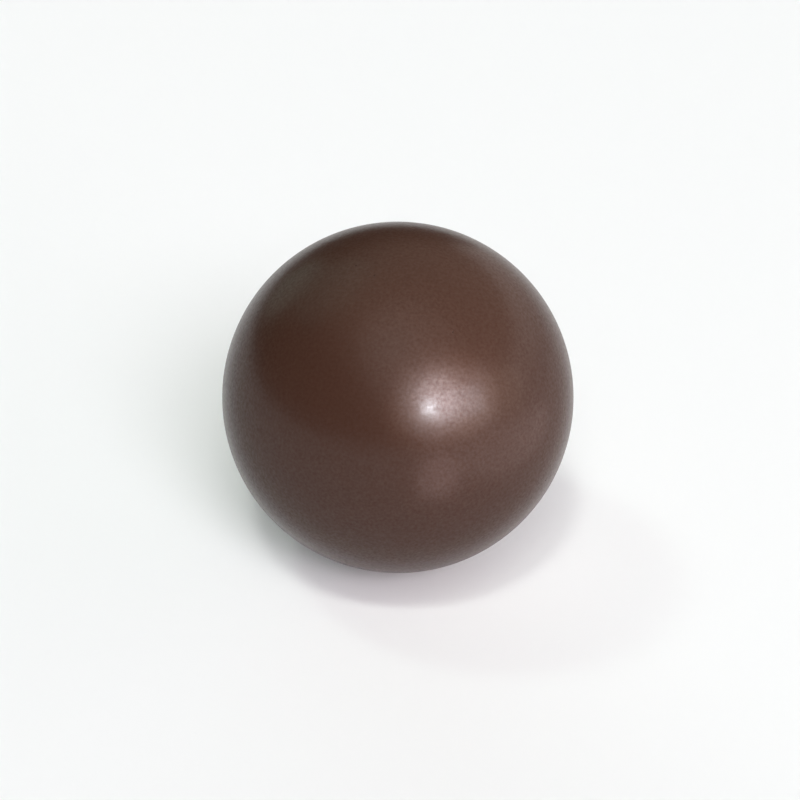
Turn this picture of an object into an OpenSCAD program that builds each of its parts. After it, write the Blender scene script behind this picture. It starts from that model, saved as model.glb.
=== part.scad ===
// Frac ball: one solid ball of brown, fibre-filled phenolic, ground to a plain sphere.
// Dropped down a well casing, it lands on a seat and closes the bore below it.
// Sizes are in millimetres. The origin is the centre of the ball, and +Z is up.

/* [Ball] */
// Diameter of the ball. Stock sizes run in steps of 1/16 inch, and this one is 2 inches
ball_d = 50.8; // [19.05:1.5875:117.475]

/* [Hidden] */

// Sides of a full circle where the ball is drawn as a mesh
$fn = 128;

// Satin brown of the cured resin
phenolic_brown = [0.36, 0.26, 0.23];

// The ball: a full sphere, solid right through, centred on the origin
module ball() {
    color(phenolic_brown) sphere(d = ball_d);
}

ball();
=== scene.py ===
"""The looks of a frac ball: one solid ball of satin brown phenolic, lying on a white sheet.

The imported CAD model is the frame. The ball made here takes the place of the CAD ball at the same size,
with an even skin of quads, the small pits of its ground surface and the speckled finish of a fibre-filled
resin. Lengths are in metres, the origin is the centre of the ball, and +Z is up.
"""

import logging
import math
from dataclasses import dataclass
from enum import Enum
from typing import Any, Union

import bpy
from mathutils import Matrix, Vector


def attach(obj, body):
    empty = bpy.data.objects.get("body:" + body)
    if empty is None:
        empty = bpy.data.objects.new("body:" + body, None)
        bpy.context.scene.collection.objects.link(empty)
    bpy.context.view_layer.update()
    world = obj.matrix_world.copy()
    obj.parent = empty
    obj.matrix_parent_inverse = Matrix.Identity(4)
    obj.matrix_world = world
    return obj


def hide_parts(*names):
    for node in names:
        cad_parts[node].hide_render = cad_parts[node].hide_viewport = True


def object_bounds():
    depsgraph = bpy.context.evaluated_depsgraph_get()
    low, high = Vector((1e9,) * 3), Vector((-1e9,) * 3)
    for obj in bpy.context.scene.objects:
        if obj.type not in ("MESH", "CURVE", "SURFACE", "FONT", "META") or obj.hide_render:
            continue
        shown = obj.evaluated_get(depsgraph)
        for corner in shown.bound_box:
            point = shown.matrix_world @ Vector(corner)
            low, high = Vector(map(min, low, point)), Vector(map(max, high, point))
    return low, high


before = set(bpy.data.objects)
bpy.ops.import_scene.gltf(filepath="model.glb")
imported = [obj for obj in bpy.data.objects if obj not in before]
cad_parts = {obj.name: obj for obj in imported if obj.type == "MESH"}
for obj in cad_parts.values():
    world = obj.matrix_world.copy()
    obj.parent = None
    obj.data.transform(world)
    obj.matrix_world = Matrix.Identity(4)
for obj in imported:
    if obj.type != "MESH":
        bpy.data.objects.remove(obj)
CAD_LOW, CAD_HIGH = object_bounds()

MM = 0.001
BALL_NODE = "ball"
BALL_BODY = "root"

# Depth of the small pits in the ground surface
PIT_DEPTH = 0.05 * MM

# Middle of a noise pattern's values
NOISE_MIDDLE = 0.5

# White of the sheet as the camera sees it, and of what is behind it
PAPER_WHITE = (0.945, 0.962, 0.953)

# How far the lamps stand from the ball's centre. The strong mirrored ones stand close, one behind
# another, so that only the ball's front mirrors them. The reflectors lie low beside the ball
FAR = 10.0
CLOSE = 40.3 * MM
BEHIND = CLOSE + 0.4 * MM
BACKMOST = CLOSE + 0.8 * MM
LOW = 64.0 * MM
LOW_RIGHT = 70.0 * MM

# The photograph's frame, and the ball's outline in it
IMAGE_SIDE_PX = 800.0
OUTLINE_CENTRE_PX = (397.9, 397.3)
OUTLINE_RADIUS_PX = 175.7

# Dark specks on the ball in the photograph, each the mouth of a small pit
SPECKS_PX = ((546.0, 480.0), (356.0, 266.0), (374.0, 275.0), (452.0, 331.0))

LOG = logging.getLogger("frac_ball")


class LampShape(Enum):
    """Outline of a soft lamp."""

    ROUND = "ELLIPSE"
    SQUARE = "RECTANGLE"


class Reach(Enum):
    """What a lamp's light is seen in."""

    MATT = "matt"
    POLISH = "polish"


class Signal:
    """One output socket of a shader, which takes part in Python sums."""

    def __init__(self, graph: "Graph", socket: bpy.types.NodeSocket) -> None:
        """Wraps a socket.

        Args:
            graph: the shader that the socket is in.
            socket: the output that the sums start from.
        """
        self.graph = graph
        self.socket = socket

    def __add__(self, other: "Number") -> "Signal":
        """Adds a number or another signal."""
        return self.graph.math("ADD", self, other)

    def __radd__(self, other: float) -> "Signal":
        """Adds this signal to a number."""
        return self.graph.math("ADD", other, self)

    def __sub__(self, other: "Number") -> "Signal":
        """Takes a number or another signal away."""
        return self.graph.math("SUBTRACT", self, other)

    def __rsub__(self, other: float) -> "Signal":
        """Takes this signal from a number."""
        return self.graph.math("SUBTRACT", other, self)

    def __mul__(self, other: "Number") -> "Signal":
        """Multiplies by a number or another signal."""
        return self.graph.math("MULTIPLY", self, other)

    def __rmul__(self, other: float) -> "Signal":
        """Multiplies a number by this signal."""
        return self.graph.math("MULTIPLY", other, self)


Number = Union[float, Signal]
Colour = tuple[float, float, float]
Span = tuple[float, float]


class Graph:
    """The node tree of one material or world."""

    def __init__(self, owner: Any) -> None:
        """Empties the owner's node tree and takes it over.

        Args:
            owner: a material or a world.
        """
        owner.use_nodes = True
        self.tree = owner.node_tree
        self.tree.nodes.clear()

    def node(self, kind: str, settings: dict[str, Any], sockets: dict[Any, Any]) -> bpy.types.Node:
        """Adds one node.

        Args:
            kind: the node's type, such as ShaderNodeTexNoise.
            settings: properties of the node, set before its sockets.
            sockets: value or signal for each input, by name or number.

        Returns:
            The new node.
        """
        made = self.tree.nodes.new(kind)
        for name, value in settings.items():
            setattr(made, name, value)
        for name, value in sockets.items():
            if isinstance(value, Signal):
                self.tree.links.new(value.socket, made.inputs[name])
            else:
                made.inputs[name].default_value = value
        return made

    def out(self, made: bpy.types.Node, name: Any = 0) -> Signal:
        """Gives one output of a node as a signal."""
        return Signal(self, made.outputs[name])

    def math(self, operation: str, first: Number, second: Number) -> Signal:
        """Adds one Math node.

        Args:
            operation: the node's operation.
            first: its first value.
            second: its second value.

        Returns:
            The result.
        """
        return self.out(self.node("ShaderNodeMath", {"operation": operation}, {0: first, 1: second}))

    def mix(self, factor: Number, first: Any, second: Any) -> Signal:
        """Mixes two colours.

        Args:
            factor: share of the second colour.
            first: the colour at a factor of 0.
            second: the colour at a factor of 1.

        Returns:
            The mixed colour.
        """
        made = self.node("ShaderNodeMix", {"data_type": "RGBA"}, {0: factor, 6: first, 7: second})
        return self.out(made, 2)

    def ramp(self, value: Signal, span: Span) -> Signal:
        """Runs smoothly from 0 where the value is at the span's start to 1 where it is at its end.

        Args:
            value: what is read.
            span: the values that give 0 and 1.

        Returns:
            The smooth step.
        """
        made = self.node(
            "ShaderNodeMapRange",
            {"interpolation_type": "SMOOTHSTEP"},
            {"Value": value, "From Min": span[0], "From Max": span[1]},
        )
        return self.out(made)

    def lean(self, place: Signal, direction: Vector) -> Signal:
        """Gives how far a place lies in a direction.

        Args:
            place: coordinates, or a direction.
            direction: the unit vector that is measured along.

        Returns:
            The dot product of the two.
        """
        made = self.node("ShaderNodeVectorMath", {"operation": "DOT_PRODUCT"}, {0: place, 1: direction})
        return self.out(made, "Value")


@dataclass(frozen=True)
class PhenolicFinish:
    """Satin brown resin with a fine filler, ground so that part of the skin is polished and the rest is dull.

    The polish grows towards the rim, as it does in the photograph. A place that the photograph shows well
    inside the outline is duller where another view has it at the rim, so that no lamp bleaches the outline.
    """

    radius: float
    front: Vector
    resin: Colour = (0.0439, 0.0197, 0.0130)
    filler: Colour = (0.0537, 0.0241, 0.0158)
    # Painted shade: the colour that the inside of each pit is darkened to, standing in for the shade that
    # falls there
    pit_shade: Colour = (0.016, 0.0080, 0.0050)
    pit_shade_depths: Span = (0.2 * PIT_DEPTH, 0.9 * PIT_DEPTH)
    cloud_scale: float = 60.0
    cloud_detail: float = 3.0
    cloud_share: float = 0.5
    grain_scale: float = 2400.0
    grain_detail: float = 2.0
    grain_share: float = 0.25
    tooth_scale: float = 6500.0
    tooth_detail: float = 1.0
    tooth_share: float = 0.35
    bump_strength: float = 0.5
    bump_height: float = 0.01 * MM
    roughness: float = 0.29
    pit_roughness: float = 0.3
    index: float = 1.5
    lustre: float = 0.05
    lustre_roughness: float = 0.12
    polished: float = 0.51
    polish_grain: float = 0.65
    rim_polish: float = 0.30
    rim_slants: Span = (0.55, 0.90)
    rim_shade: float = 0.80
    shade_slants: Span = (0.74, 0.96)
    shade_leans: Span = (0.28, 0.50)
    even_blend: float = 0.5

    def noise(self, graph: Graph, place: Signal, scale: float, detail: float) -> Signal:
        """Adds one noise pattern.

        Args:
            graph: the shader that it is for.
            place: the coordinates that it reads.
            scale: how many times it repeats in a metre.
            detail: how many finer layers it has.

        Returns:
            The pattern, mostly between 0.2 and 0.8.
        """
        made = graph.node("ShaderNodeTexNoise", {}, {"Vector": place, "Scale": scale, "Detail": detail})
        return graph.out(made, "Fac")

    def polish(self, graph: Graph, place: Signal, grain: Signal) -> Signal:
        """Works out how much of the skin is polished.

        Args:
            graph: the shader that it is for.
            place: the coordinates on the ball.
            grain: the pattern of the filler.

        Returns:
            The polished share.
        """
        slant = graph.out(graph.node("ShaderNodeLayerWeight", {}, {"Blend": self.even_blend}), "Facing")
        share = self.polished + self.polish_grain * (grain - NOISE_MIDDLE)
        share = share + self.rim_polish * graph.ramp(slant, self.rim_slants)
        inside = (self.shade_leans[0] * self.radius, self.shade_leans[1] * self.radius)
        inner = graph.ramp(graph.lean(place, self.front), inside)
        return share * (1.0 - self.rim_shade * inner * graph.ramp(slant, self.shade_slants))

    def material(self) -> bpy.types.Material:
        """Makes the material.

        Returns:
            The finished material.
        """
        made = bpy.data.materials.new("phenolic_satin")
        graph = Graph(made)
        place = graph.out(graph.node("ShaderNodeTexCoord", {}, {}), "Object")
        cloud = self.noise(graph, place, self.cloud_scale, self.cloud_detail)
        grain = self.noise(graph, place, self.grain_scale, self.grain_detail)
        tooth = self.noise(graph, place, self.tooth_scale, self.tooth_detail)
        length = graph.node("ShaderNodeVectorMath", {"operation": "LENGTH"}, {0: place})
        pit = graph.ramp(self.radius - graph.out(length, "Value"), self.pit_shade_depths)
        blend = NOISE_MIDDLE + self.cloud_share * (cloud - NOISE_MIDDLE)
        blend = blend + self.grain_share * (grain - NOISE_MIDDLE)
        body = graph.mix(blend, (*self.resin, 1.0), (*self.filler, 1.0))
        # Painted shade in the pits: the colour runs darker towards each pit's floor
        body = graph.mix(pit, body, (*self.pit_shade, 1.0))
        rough = self.roughness + self.pit_roughness * pit
        relief = {
            "Strength": self.bump_strength,
            "Distance": self.bump_height,
            "Height": grain + self.tooth_share * tooth,
        }
        bump = graph.node("ShaderNodeBump", {}, relief)
        skin = {"Base Color": body, "Roughness": rough, "IOR": self.index, "Normal": graph.out(bump)}
        dull = graph.node("ShaderNodeBsdfPrincipled", {}, {**skin, "Specular IOR Level": 0.0})
        gloss = {"Coat Weight": self.lustre, "Coat Roughness": self.lustre_roughness}
        bright = graph.node("ShaderNodeBsdfPrincipled", {}, {**skin, **gloss})
        share = self.polish(graph, place, grain)
        ground = graph.node("ShaderNodeMixShader", {}, {0: share, 1: graph.out(dull), 2: graph.out(bright)})
        graph.node("ShaderNodeOutputMaterial", {}, {"Surface": graph.out(ground)})
        return made


@dataclass(frozen=True)
class SheetFinish:
    """Matt white sheet, part of whose white is its own, so that shadows on it stay pale."""

    white: Colour = (0.900, 0.900, 0.900)
    own: Colour = PAPER_WHITE
    own_share: float = 0.04

    def material(self) -> bpy.types.Material:
        """Makes the material.

        Returns:
            The finished material.
        """
        made = bpy.data.materials.new("white_sheet")
        graph = Graph(made)
        path = graph.node("ShaderNodeLightPath", {}, {})
        seen = graph.out(path, "Is Camera Ray") + graph.out(path, "Is Glossy Ray")
        seen = seen + graph.out(path, "Is Transmission Ray")
        matt = graph.node("ShaderNodeBsdfDiffuse", {}, {"Color": (*self.white, 1.0)})
        glow = graph.node("ShaderNodeEmission", {}, {"Color": (*self.own, 1.0), "Strength": 1.0})
        parts = {0: self.own_share * seen, 1: graph.out(matt), 2: graph.out(glow)}
        sheet = graph.node("ShaderNodeMixShader", {}, parts)
        graph.node("ShaderNodeOutputMaterial", {}, {"Surface": graph.out(sheet)})
        return made


@dataclass(frozen=True)
class Viewpoint:
    """Where the photograph was taken from, with the ball at the middle of the view.

    The camera's distance and the start of its view are in radii of the ball.
    """

    radius: float
    elevation: float = 32.0
    distance: float = 10.0
    view_start: float = 0.1
    sensor: float = 36.0

    def basis(self) -> tuple[Vector, Vector, Vector]:
        """Gives the camera's directions.

        Returns:
            Unit vectors to the right, up, and back from the ball to the camera.
        """
        tilt = math.radians(self.elevation)
        right = Vector((1.0, 0.0, 0.0))
        up = Vector((0.0, math.sin(tilt), math.cos(tilt)))
        back = Vector((0.0, -math.cos(tilt), math.sin(tilt)))
        return right, up, back

    def focal_px(self) -> float:
        """Focal length, in pixels, at which the ball's outline has its size in the photograph."""
        return OUTLINE_RADIUS_PX * math.sqrt(self.distance**2 - 1.0)

    def spot(self, across: float, down: float) -> Vector:
        """Finds the place on the ball that the photograph shows at a pixel.

        Args:
            across: pixels from the left edge of the image.
            down: pixels from its top edge.

        Returns:
            Unit vector from the centre of the ball to that place.
        """
        right, up, back = self.basis()
        ray = right * (across - OUTLINE_CENTRE_PX[0]) + up * (OUTLINE_CENTRE_PX[1] - down)
        ray = (ray - back * self.focal_px()).normalized()
        nearest = -self.distance * back.dot(ray)
        miss = self.distance**2 - nearest**2
        reach = nearest - math.sqrt(max(0.0, 1.0 - miss))
        return (back * self.distance + ray * reach).normalized()

    def place(self) -> bpy.types.Object:
        """Adds the camera and makes it the scene's.

        Returns:
            The camera.
        """
        back = self.basis()[2]
        lens = bpy.data.cameras.new("camera")
        lens.sensor_width = self.sensor
        lens.lens = self.sensor * self.focal_px() / IMAGE_SIDE_PX
        lens.shift_x = 0.5 - OUTLINE_CENTRE_PX[0] / IMAGE_SIDE_PX
        lens.shift_y = OUTLINE_CENTRE_PX[1] / IMAGE_SIDE_PX - 0.5
        lens.clip_start = self.view_start * self.radius
        camera = bpy.data.objects.new("camera", lens)
        camera.location = back * self.distance * self.radius
        camera.rotation_euler = (-back).to_track_quat("-Z", "Y").to_euler()
        bpy.context.scene.collection.objects.link(camera)
        bpy.context.scene.camera = camera
        return camera


@dataclass
class Ball:
    """The whole ball, which is one piece."""

    radius: float
    specks: tuple[Vector, ...]
    halvings: int = 7
    far_pits: int = 6
    far_height: float = 0.8
    first_turn: float = 40.0
    turn_step: float = 97.0
    turn_range: float = 140.0
    pit_lip: float = 0.05 * MM
    mouth_share: float = 0.3
    floor_inset: float = 0.6

    def build(self) -> bpy.types.Object:
        """Models the ball: a cube, halved again and again and rounded each time, and then pitted.

        Returns:
            The ball, at the origin.
        """
        bpy.ops.object.select_all(action="DESELECT")
        bpy.ops.mesh.primitive_cube_add(size=2.0 * self.radius / math.sqrt(3.0))
        made = bpy.context.object
        made.name = "phenolic_ball"
        bpy.ops.object.mode_set(mode="EDIT")
        bpy.ops.mesh.select_all(action="SELECT")
        for _ in range(self.halvings):
            bpy.ops.mesh.subdivide(number_cuts=1)
            bpy.ops.transform.tosphere(value=1.0)
        bpy.ops.object.mode_set(mode="OBJECT")
        grown = self.radius / made.data.vertices[0].co.length
        bpy.ops.object.mode_set(mode="EDIT")
        bpy.ops.transform.resize(value=(grown, grown, grown))
        bpy.ops.object.mode_set(mode="OBJECT")
        self.pit(made)
        bpy.ops.object.shade_smooth()
        return made

    def pit_places(self) -> list[Vector]:
        """Gives the direction of each pit: those that the photograph shows, and as thin a sprinkling behind.

        Returns:
            Unit vectors from the centre of the ball.
        """
        places = list(self.specks)
        for step in range(self.far_pits):
            height = self.far_height * (1.0 - 2.0 * (step + 0.5) / self.far_pits)
            turn = math.radians(self.first_turn + self.turn_step * step % self.turn_range)
            flat = math.sqrt(1.0 - height**2)
            places.append(Vector((flat * math.cos(turn), flat * math.sin(turn), height)))
        return places

    def pit(self, made: bpy.types.Object) -> None:
        """Sinks the small pits into the ground surface, one face each.

        Args:
            made: the ball, with its even skin.
        """
        bpy.ops.object.mode_set(mode="EDIT")
        bpy.ops.mesh.select_mode(type="FACE")
        bpy.ops.mesh.select_all(action="DESELECT")
        bpy.ops.object.mode_set(mode="OBJECT")
        faces = made.data.polygons
        for place in self.pit_places():
            max(faces, key=lambda face: face.center.dot(place)).select = True
        mouth = self.mouth_share * PIT_DEPTH
        bpy.ops.object.mode_set(mode="EDIT")
        bpy.ops.mesh.inset(thickness=self.pit_lip, depth=-mouth, use_individual=True)
        bpy.ops.mesh.inset(
            thickness=self.floor_inset * self.pit_lip, depth=mouth - PIT_DEPTH, use_individual=True
        )
        bpy.ops.object.mode_set(mode="OBJECT")

    def dress(self, made: bpy.types.Object, finish: PhenolicFinish) -> None:
        """Gives the ball its finish and its place in the frame.

        Args:
            made: the ball.
            finish: what its surface is like.
        """
        made.data.materials.clear()
        made.data.materials.append(finish.material())
        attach(made, BALL_BODY)
        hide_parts(BALL_NODE)


def heading(azimuth: float, elevation: float) -> Vector:
    """Turns two angles into a direction.

    Args:
        azimuth: degrees round from +X towards +Y.
        elevation: degrees up from level.

    Returns:
        The unit vector.
    """
    turn = math.radians(azimuth)
    rise = math.radians(elevation)
    flat = math.cos(rise)
    return Vector((flat * math.cos(turn), flat * math.sin(turn), math.sin(rise)))


@dataclass(frozen=True)
class Lamp:
    """A soft lamp, as a rule so far off that it lights the sheet evenly.

    Its place and its width and height are angles in degrees, as the ball's centre sees them.
    """

    name: str
    azimuth: float
    elevation: float
    width: float
    height: float
    glow: float
    tint: Colour
    shape: LampShape
    distance: float = FAR

    def place(self, reach: Reach) -> bpy.types.Object:
        """Adds the lamp, turned to the ball.

        Args:
            reach: what its light is seen in.

        Returns:
            The lamp.
        """
        towards = heading(self.azimuth, self.elevation)
        made = bpy.data.lights.new(self.name, "AREA")
        made.shape = self.shape.value
        made.size = 2.0 * self.distance * math.tan(math.radians(self.width / 2.0))
        made.size_y = 2.0 * self.distance * math.tan(math.radians(self.height / 2.0))
        face = made.size * made.size_y
        if self.shape is LampShape.ROUND:
            face *= math.pi / 4.0
        made.energy = self.glow * math.pi * face
        made.color = self.tint
        lamp = bpy.data.objects.new(self.name, made)
        lamp.location = towards * self.distance
        lamp.rotation_euler = towards.to_track_quat("Z", "Y").to_euler()
        lamp.visible_diffuse = reach is Reach.MATT
        lamp.visible_glossy = reach is Reach.POLISH
        lamp.visible_camera = False
        bpy.context.scene.collection.objects.link(lamp)
        return lamp


@dataclass(frozen=True)
class Room:
    """What the ball's polish mirrors of the room: a pale ceiling and dim walls. The camera sees it white."""

    azimuth: float = 15.0
    elevation: float = 70.0
    bright: Colour = (1.03, 0.80, 0.66)
    dim: Colour = (0.016, 0.014, 0.013)
    backdrop: Colour = PAPER_WHITE
    leans: Span = (0.3, 0.9)

    def world(self) -> bpy.types.World:
        """Makes the world that gives this light.

        Returns:
            The world.
        """
        made = bpy.data.worlds.new("room")
        graph = Graph(made)
        look = graph.out(graph.node("ShaderNodeTexCoord", {}, {}), "Generated")
        share = graph.ramp(graph.lean(look, heading(self.azimuth, self.elevation)), self.leans)
        colour = graph.mix(share, (*self.dim, 1.0), (*self.bright, 1.0))
        seen = graph.out(graph.node("ShaderNodeLightPath", {}, {}), "Is Camera Ray")
        colour = graph.mix(seen, colour, (*self.backdrop, 1.0))
        glow = graph.node("ShaderNodeBackground", {}, {"Color": colour, "Strength": 1.0})
        graph.node("ShaderNodeOutputWorld", {}, {"Surface": graph.out(glow)})
        return made


# Lamps that light the matt brown and the sheet
WASHES = (
    Lamp("overhead_spot", 255.0, 66.0, 8.0, 8.0, 31.7, (0.94, 1.0, 0.95), LampShape.ROUND),
    Lamp("overhead_strip", 268.0, 66.0, 26.0, 7.0, 9.07, (0.95, 1.0, 0.94), LampShape.ROUND),
    Lamp("ceiling", 300.0, 70.0, 34.0, 34.0, 0.30, (0.88, 1.0, 0.80), LampShape.ROUND),
    Lamp("front_panel", 275.0, 45.0, 36.0, 40.0, 3.30, (0.99, 0.99, 1.0), LampShape.SQUARE),
    Lamp("front_wash", 292.0, 35.0, 24.0, 20.0, 8.86, (0.96, 0.91, 1.0), LampShape.SQUARE),
    Lamp("right_wash", 340.0, 11.0, 80.0, 20.0, 3.77, (1.0, 0.80, 0.88), LampShape.SQUARE),
    Lamp("back_right_wash", 40.0, 10.0, 55.0, 20.0, 3.30, (0.95, 1.0, 0.92), LampShape.SQUARE),
    Lamp("back_left_wash", 97.0, 10.0, 55.0, 20.0, 5.20, (0.86, 1.0, 0.98), LampShape.SQUARE),
    Lamp("back_spot", 157.0, 60.0, 8.0, 8.0, 18.3, (0.85, 1.0, 0.90), LampShape.ROUND),
)

# The same lamps and the pale things round the ball, as its polish mirrors them
GLOWS = (
    Lamp("bulb", 285.1, 26.5, 2.3, 3.7, 104.0, (0.86, 0.94, 1.0), LampShape.ROUND, CLOSE),
    Lamp("bulb_halo", 285.1, 26.5, 8.3, 9.7, 12.8, (0.80, 0.91, 1.0), LampShape.ROUND, BEHIND),
    Lamp("bulb_haze", 285.1, 26.5, 23.8, 23.8, 1.10, (0.52, 0.84, 1.0), LampShape.ROUND, BACKMOST),
    Lamp("left_softbox", 290.3, 30.5, 18.2, 19.3, 7.6, (1.0, 0.89, 0.93), LampShape.ROUND, CLOSE),
    Lamp("left_haze", 290.3, 30.5, 32.7, 32.7, 1.40, (1.0, 0.98, 1.0), LampShape.ROUND, BACKMOST),
    Lamp("right_softbox", 299.8, 25.8, 22.2, 12.1, 6.0, (0.88, 0.90, 1.0), LampShape.SQUARE, CLOSE),
    Lamp("right_haze", 299.8, 25.8, 37.6, 27.0, 1.05, (0.90, 0.90, 1.0), LampShape.SQUARE, BACKMOST),
    Lamp("wide_glow", 304.5, 24.0, 70.0, 44.0, 2.4, (1.0, 0.70, 0.57), LampShape.ROUND),
    Lamp("reflector", 290.0, -12.0, 20.0, 26.0, 2.75, (1.0, 0.73, 0.71), LampShape.ROUND, LOW),
    Lamp("right_reflector", 330.0, -9.0, 64.0, 24.0, 1.30, (1.0, 0.80, 0.76), LampShape.ROUND, LOW_RIGHT),
    Lamp("ceiling_glow", 283.0, 60.0, 60.0, 72.0, 0.62, (1.0, 0.85, 0.82), LampShape.ROUND),
    Lamp("back_glow", 140.0, 46.0, 44.0, 36.0, 0.41, (0.71, 1.0, 0.88), LampShape.ROUND),
    Lamp("back_left_glow", 131.0, 18.0, 28.0, 24.0, 0.70, (0.78, 1.0, 0.87), LampShape.ROUND),
    Lamp("back_right_glow", 35.0, 12.0, 76.0, 22.0, 1.08, (1.0, 0.93, 0.89), LampShape.SQUARE),
    Lamp("right_glow", 332.0, 12.0, 56.0, 24.0, 1.85, (1.0, 0.80, 0.66), LampShape.SQUARE),
)


@dataclass
class Studio:
    """The sheet that the ball lies on, the lamps and the room round them."""

    level: float
    washes: tuple[Lamp, ...]
    glows: tuple[Lamp, ...]
    room: Room
    sheet_side: float = 8.0

    def lay_sheet(self) -> bpy.types.Object:
        """Lays the white sheet under the ball.

        Returns:
            The sheet.
        """
        bpy.ops.object.select_all(action="DESELECT")
        bpy.ops.mesh.primitive_plane_add(size=self.sheet_side, location=(0.0, 0.0, self.level))
        sheet = bpy.context.object
        sheet.name = "white_sheet"
        sheet.data.materials.append(SheetFinish().material())
        return sheet

    def light(self) -> int:
        """Adds the lamps and the room's own light.

        Returns:
            The number of lamps.
        """
        for lamp in self.washes:
            lamp.place(Reach.MATT)
        for lamp in self.glows:
            lamp.place(Reach.POLISH)
        bpy.context.scene.world = self.room.world()
        bpy.context.scene.world.cycles_visibility.diffuse = False
        return len(self.washes) + len(self.glows)


def main() -> None:
    """Builds the ball, its sheet, its lamps and the camera."""
    logging.basicConfig(level=logging.INFO, format="%(name)s: %(message)s")
    bpy.context.scene.view_settings.view_transform = "Standard"
    radius = (CAD_HIGH.z - CAD_LOW.z) / 2.0
    view = Viewpoint(radius)
    view.place()
    ball = Ball(radius, tuple(view.spot(*pixel) for pixel in SPECKS_PX))
    piece = ball.build()
    ball.dress(piece, PhenolicFinish(radius, view.basis()[2]))
    LOG.info("%s: %d faces", piece.name, len(piece.data.polygons))
    studio = Studio(CAD_LOW.z, WASHES, GLOWS, Room())
    sheet = studio.lay_sheet()
    LOG.info("%s and %d lamps", sheet.name, studio.light())


if __name__ == "__main__":
    main()
